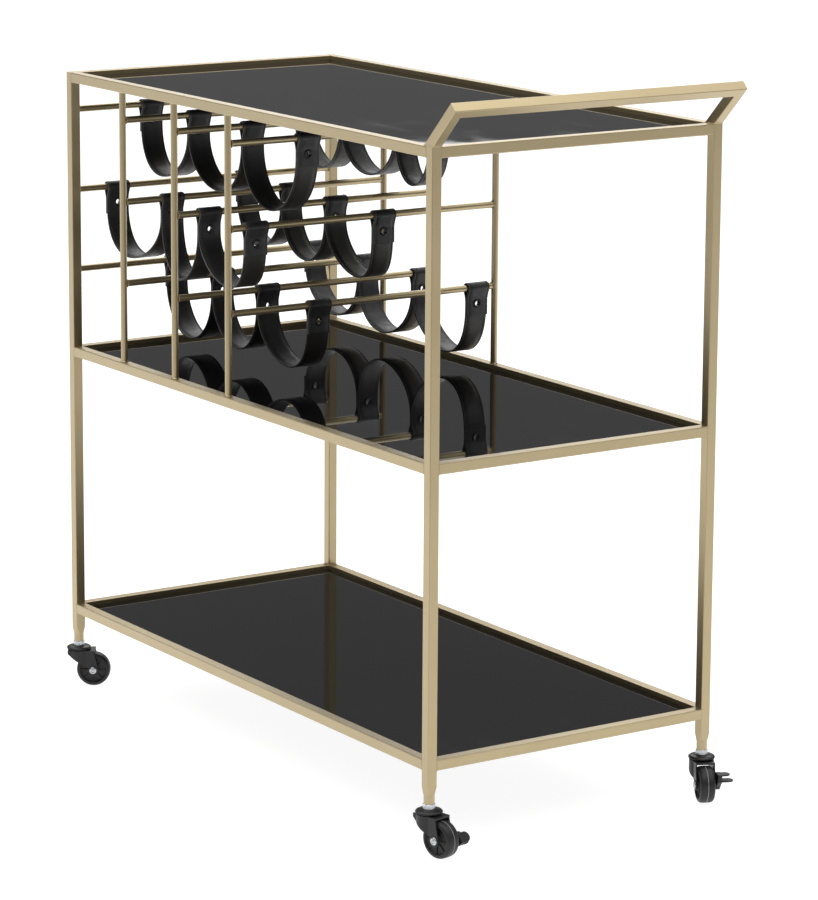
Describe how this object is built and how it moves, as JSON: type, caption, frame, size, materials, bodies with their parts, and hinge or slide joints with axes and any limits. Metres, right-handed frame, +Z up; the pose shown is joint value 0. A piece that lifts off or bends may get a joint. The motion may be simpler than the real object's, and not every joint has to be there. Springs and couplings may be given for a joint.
{
  "type": "bar cart",
  "caption": "Wheeled bar cart: square-tube frame, black glass shelves, leather-sling bottle rack, push handle and swivel casters with brakes.",
  "frame": {"origin": "on the floor, under the middle of the cart's overall box", "axes": "+X along the cart towards the push handle, +Y across it towards the back long side, +Z up"},
  "size_m": [0.8352, 0.3993, 0.8071],
  "materials": {
    "gold_paint": "satin",
    "black_glass": "gloss",
    "clear_vinyl": "satin",
    "black_leather": "satin",
    "black_eyelet": "satin",
    "zinc": "bright",
    "black_steel": "satin",
    "black_nylon": "satin"
  },
  "bodies": {
    "frame": {"leg_front_left": "gold_paint", "leg_front_right": "gold_paint", "leg_back_left": "gold_paint", "leg_back_right": "gold_paint", "rail_top_front": "gold_paint", "rail_top_back": "gold_paint", "rail_top_left": "gold_paint", "rail_top_right": "gold_paint", "rail_middle_front": "gold_paint", "rail_middle_back": "gold_paint", "rail_middle_left": "gold_paint", "rail_middle_right": "gold_paint", "rail_bottom_front": "gold_paint", "rail_bottom_back": "gold_paint", "rail_bottom_left": "gold_paint", "rail_bottom_right": "gold_paint", "handle_arm_front": "gold_paint", "handle_arm_back": "gold_paint", "handle_bar": "gold_paint", "glass_top": "black_glass", "glass_middle": "black_glass", "glass_bottom": "black_glass", "glass_tabs": "gold_paint", "glass_pads": "clear_vinyl", "rack_uprights_front": "gold_paint", "rack_uprights_back": "gold_paint", "rack_bars_upper": "gold_paint", "rack_bars_middle": "gold_paint", "rack_bars_lower": "gold_paint", "caster_stems": "zinc", "caster_race_caps": "black_steel", "caster_washers": "black_nylon"},
    "band_upper_front": {"strap_upper_front": "black_leather", "eyelets_upper_front": "black_eyelet"},
    "band_upper_back": {"strap_upper_back": "black_leather", "eyelets_upper_back": "black_eyelet"},
    "band_middle_front": {"strap_middle_front": "black_leather", "eyelets_middle_front": "black_eyelet"},
    "band_middle_back": {"strap_middle_back": "black_leather", "eyelets_middle_back": "black_eyelet"},
    "band_lower_front": {"strap_lower_front": "black_leather", "eyelets_lower_front": "black_eyelet"},
    "band_lower_back": {"strap_lower_back": "black_leather", "eyelets_lower_back": "black_eyelet"},
    "swivel_front_left": {"fork_front_left": "black_steel", "axle_front_left": "zinc"},
    "roller_front_left": {"wheel_front_left": "black_nylon"},
    "swivel_front_right": {"fork_front_right": "black_steel", "axle_front_right": "zinc"},
    "roller_front_right": {"wheel_front_right": "black_nylon"},
    "brake_front": {"brake_lever_front": "black_nylon"},
    "swivel_back_left": {"fork_back_left": "black_steel", "axle_back_left": "zinc"},
    "roller_back_left": {"wheel_back_left": "black_nylon"},
    "swivel_back_right": {"fork_back_right": "black_steel", "axle_back_right": "zinc"},
    "roller_back_right": {"wheel_back_right": "black_nylon"},
    "brake_back": {"brake_lever_back": "black_nylon"}
  },
  "joints": [
    {"name": "band_upper_front_slide", "type": "slide", "parent": "frame", "child": "band_upper_front", "axis": [0, 1, 0], "range_m": [-0.08, 0.065]},
    {"name": "band_upper_back_slide", "type": "slide", "parent": "frame", "child": "band_upper_back", "axis": [0, 1, 0], "range_m": [-0.072, 0.018]},
    {"name": "band_middle_front_slide", "type": "slide", "parent": "frame", "child": "band_middle_front", "axis": [0, 1, 0], "range_m": [-0.012, 0.095]},
    {"name": "band_middle_back_slide", "type": "slide", "parent": "frame", "child": "band_middle_back", "axis": [0, 1, 0], "range_m": [-0.012, 0.095]},
    {"name": "band_lower_front_slide", "type": "slide", "parent": "frame", "child": "band_lower_front", "axis": [0, 1, 0], "range_m": [-0.095, 0.04]},
    {"name": "band_lower_back_slide", "type": "slide", "parent": "frame", "child": "band_lower_back", "axis": [0, 1, 0], "range_m": [-0.11, 0.001]},
    {"name": "caster_front_left_swivel", "type": "hinge", "parent": "frame", "child": "swivel_front_left", "pos_m": [-0.40201, -0.183, 0.043], "axis": [0, 0, 1], "continuous": true},
    {"name": "wheel_front_left_spin", "type": "hinge", "parent": "swivel_front_left", "child": "roller_front_left", "pos_m": [-0.39168, -0.16825, 0.0206], "axis": [-0.8192, 0.5736, 0], "continuous": true},
    {"name": "caster_front_right_swivel", "type": "hinge", "parent": "frame", "child": "swivel_front_right", "pos_m": [0.36999, -0.183, 0.043], "axis": [0, 0, 1], "continuous": true},
    {"name": "wheel_front_right_spin", "type": "hinge", "parent": "swivel_front_right", "child": "roller_front_right", "pos_m": [0.3876, -0.17926, 0.0206], "axis": [-0.2079, 0.9781, 0], "continuous": true},
    {"name": "brake_front_press", "type": "hinge", "parent": "swivel_front_right", "child": "brake_front", "pos_m": [0.3876, -0.17926, 0.0206], "axis": [-0.2079, 0.9781, 0], "range_deg": [-50, 0]},
    {"name": "caster_back_left_swivel", "type": "hinge", "parent": "frame", "child": "swivel_back_left", "pos_m": [-0.40201, 0.183, 0.043], "axis": [0, 0, 1], "continuous": true},
    {"name": "wheel_back_left_spin", "type": "hinge", "parent": "swivel_back_left", "child": "roller_back_left", "pos_m": [-0.39585, 0.16609, 0.0206], "axis": [0.9397, 0.342, 0], "continuous": true},
    {"name": "caster_back_right_swivel", "type": "hinge", "parent": "frame", "child": "swivel_back_right", "pos_m": [0.36999, 0.183, 0.043], "axis": [0, 0, 1], "continuous": true},
    {"name": "wheel_back_right_spin", "type": "hinge", "parent": "swivel_back_right", "child": "roller_back_right", "pos_m": [0.38631, 0.17539, 0.0206], "axis": [0.4226, 0.9063, 0], "continuous": true},
    {"name": "brake_back_press", "type": "hinge", "parent": "swivel_back_right", "child": "brake_back", "pos_m": [0.38631, 0.17539, 0.0206], "axis": [0.4226, 0.9063, 0], "range_deg": [0, 50]}
  ]
}
